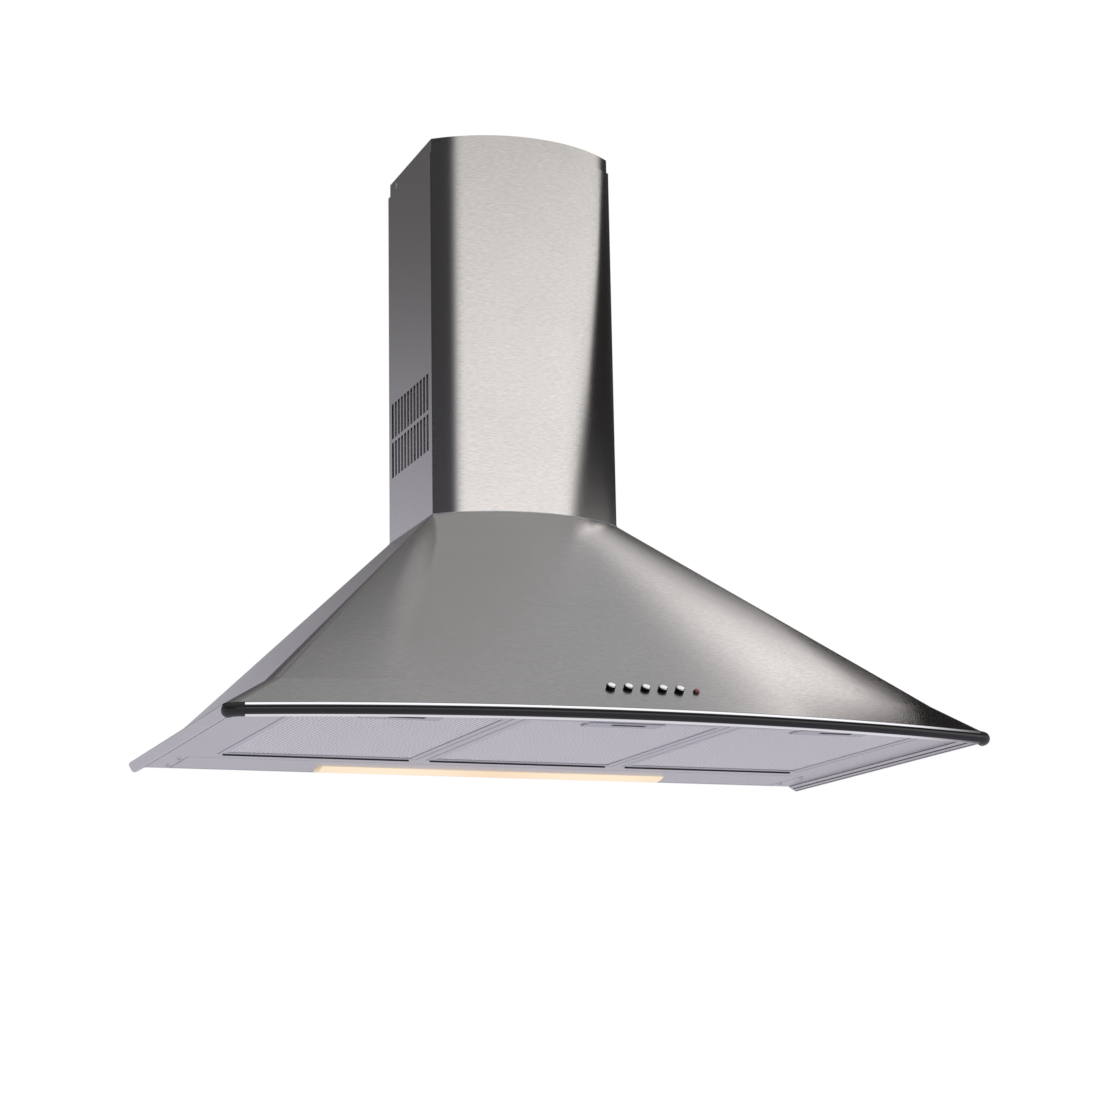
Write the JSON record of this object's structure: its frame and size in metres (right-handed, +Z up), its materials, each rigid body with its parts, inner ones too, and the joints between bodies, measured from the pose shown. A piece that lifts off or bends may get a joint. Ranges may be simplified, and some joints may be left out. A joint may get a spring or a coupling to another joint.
{
  "type": "range hood",
  "caption": "Wall-mounted chimney range hood with a bowed sloping canopy, black front rail, push buttons, mesh grease filters and a telescopic chimney.",
  "frame": {"origin": "middle of the back panel's bottom edge, on the wall plane", "axes": "+X to the right along the wall, +Y back into the wall, +Z up"},
  "size_m": [0.897, 0.5579, 0.7835],
  "materials": {
    "brushed_stainless": "brushed stainless steel, fine horizontal grain",
    "underside_steel": "satin stainless steel",
    "galvanised_steel": "bare galvanised sheet",
    "zinc_fasteners": "zinc plated steel",
    "black_rail": "gloss black enamel",
    "black_cap": "black moulded plastic",
    "black_moulding": "black moulded plastic",
    "motor_casing": "grey painted steel",
    "capacitor_can": "light grey plastic can",
    "lamp_porcelain": "glazed porcelain",
    "bulb_glass": "frosted glass, lit",
    "diffuser": "frosted plastic lit from above",
    "indicator_red": "red translucent plastic",
    "filter_aluminium": "expanded aluminium mesh in a folded frame",
    "filter_latch_metal": "satin aluminium plate",
    "latch_pull": "dark grey plastic",
    "button_chrome": "polished chrome"
  },
  "bodies": {
    "hood": {"canopy_front_panel": "brushed_stainless", "canopy_right_panel": "brushed_stainless", "canopy_left_panel": "brushed_stainless", "back_panel": "galvanised_steel", "top_plate": "galvanised_steel", "front_rail": "black_rail", "rail_end_cap_right": "black_cap", "rail_end_cap_left": "black_cap", "rail_nuts": "zinc_fasteners", "underside_frame": "underside_steel", "lamp_panel": "underside_steel", "lamp_panel_screws": "zinc_fasteners", "lamp_housing": "galvanised_steel", "lamp_holders": "lamp_porcelain", "lamp_bulbs": "bulb_glass", "lower_chimney_cover": "brushed_stainless", "blower_housing": "black_moulding", "blower_inlet_ring": "black_moulding", "blower_motor": "motor_casing", "motor_screws": "zinc_fasteners", "motor_capacitor": "capacitor_can", "capacitor_clip": "galvanised_steel", "outlet_spigot": "black_moulding", "flap_pin": "zinc_fasteners", "outlet_screws": "zinc_fasteners", "terminal_box": "black_moulding", "cable_gland": "black_moulding", "switch_box": "black_moulding", "indicator_lens": "indicator_red"},
    "chimney_upper": {"upper_chimney_cover": "brushed_stainless", "chimney_wall_bracket": "galvanised_steel", "bracket_screws": "zinc_fasteners"},
    "fan": {"fan_wheel": "black_moulding", "fan_hub": "zinc_fasteners", "fan_shaft": "zinc_fasteners"},
    "flap_left": {"flap_left": "black_moulding"},
    "flap_right": {"flap_right": "black_moulding"},
    "lamp_cover": {"lamp_cover": "diffuser"},
    "filter_left": {"filter_left_frame": "filter_aluminium", "filter_left_mesh": "filter_aluminium", "filter_left_core": "filter_aluminium", "filter_left_latch_housing": "filter_latch_metal"},
    "filter_left_latch": {"filter_left_latch": "latch_pull"},
    "filter_middle": {"filter_middle_frame": "filter_aluminium", "filter_middle_mesh": "filter_aluminium", "filter_middle_core": "filter_aluminium", "filter_middle_latch_housing": "filter_latch_metal"},
    "filter_middle_latch": {"filter_middle_latch": "latch_pull"},
    "filter_right": {"filter_right_frame": "filter_aluminium", "filter_right_mesh": "filter_aluminium", "filter_right_core": "filter_aluminium", "filter_right_latch_housing": "filter_latch_metal"},
    "filter_right_latch": {"filter_right_latch": "latch_pull"},
    "button_stop": {"button_stop": "button_chrome"},
    "button_speed_low": {"button_speed_low": "button_chrome"},
    "button_speed_medium": {"button_speed_medium": "button_chrome"},
    "button_speed_high": {"button_speed_high": "button_chrome"},
    "button_lamp": {"button_lamp": "button_chrome"}
  },
  "joints": [
    {"name": "filter_left_swing", "type": "hinge", "parent": "hood", "child": "filter_left", "pos_m": [-0.252, -0.139, 0.0005], "axis": [1, 0, 0], "range_deg": [0, 80]},
    {"name": "filter_left_latch_slide", "type": "slide", "parent": "filter_left", "child": "filter_left_latch", "axis": [0, 1, 0], "range_m": [0, 0.006], "stiffness_N_per_m": 300, "springref_m": -0.003},
    {"name": "filter_middle_swing", "type": "hinge", "parent": "hood", "child": "filter_middle", "pos_m": [0, -0.139, 0.0005], "axis": [1, 0, 0], "range_deg": [0, 80]},
    {"name": "filter_middle_latch_slide", "type": "slide", "parent": "filter_middle", "child": "filter_middle_latch", "axis": [0, 1, 0], "range_m": [0, 0.006], "stiffness_N_per_m": 300, "springref_m": -0.003},
    {"name": "filter_right_swing", "type": "hinge", "parent": "hood", "child": "filter_right", "pos_m": [0.252, -0.139, 0.0005], "axis": [1, 0, 0], "range_deg": [0, 80]},
    {"name": "filter_right_latch_slide", "type": "slide", "parent": "filter_right", "child": "filter_right_latch", "axis": [0, 1, 0], "range_m": [0, 0.006], "stiffness_N_per_m": 300, "springref_m": -0.003},
    {"name": "lamp_cover_swing", "type": "hinge", "parent": "hood", "child": "lamp_cover", "pos_m": [0, -0.014, 0.0005], "axis": [1, 0, 0], "range_deg": [0, 80]},
    {"name": "chimney_extend", "type": "slide", "parent": "hood", "child": "chimney_upper", "axis": [0, 0, 1], "range_m": [0, 0.3]},
    {"name": "fan_spin", "type": "hinge", "parent": "hood", "child": "fan", "pos_m": [-0.069, -0.105, 0.158], "axis": [0, 1, 0], "continuous": true},
    {"name": "flap_left_swing", "type": "hinge", "parent": "hood", "child": "flap_left", "pos_m": [0, -0.105, 0.2994], "axis": [0, 1, 0], "range_deg": [0, 80]},
    {"name": "flap_right_swing", "type": "hinge", "parent": "hood", "child": "flap_right", "pos_m": [0, -0.105, 0.2994], "axis": [0, -1, 0], "range_deg": [0, 80]},
    {"name": "button_stop_press", "type": "slide", "parent": "hood", "child": "button_stop", "axis": [0, 0.6546, -0.756], "range_m": [0, 0.0035], "stiffness_N_per_m": 600, "springref_m": -0.002},
    {"name": "button_speed_low_press", "type": "slide", "parent": "hood", "child": "button_speed_low", "axis": [0, 0.6546, -0.756], "range_m": [0, 0.0035], "stiffness_N_per_m": 600, "springref_m": -0.002},
    {"name": "button_speed_medium_press", "type": "slide", "parent": "hood", "child": "button_speed_medium", "axis": [0, 0.6546, -0.756], "range_m": [0, 0.0035], "stiffness_N_per_m": 600, "springref_m": -0.002},
    {"name": "button_speed_high_press", "type": "slide", "parent": "hood", "child": "button_speed_high", "axis": [0, 0.6546, -0.756], "range_m": [0, 0.0035], "stiffness_N_per_m": 600, "springref_m": -0.002},
    {"name": "button_lamp_press", "type": "slide", "parent": "hood", "child": "button_lamp", "axis": [0, 0.6546, -0.756], "range_m": [0, 0.0035], "stiffness_N_per_m": 600, "springref_m": -0.002}
  ]
}
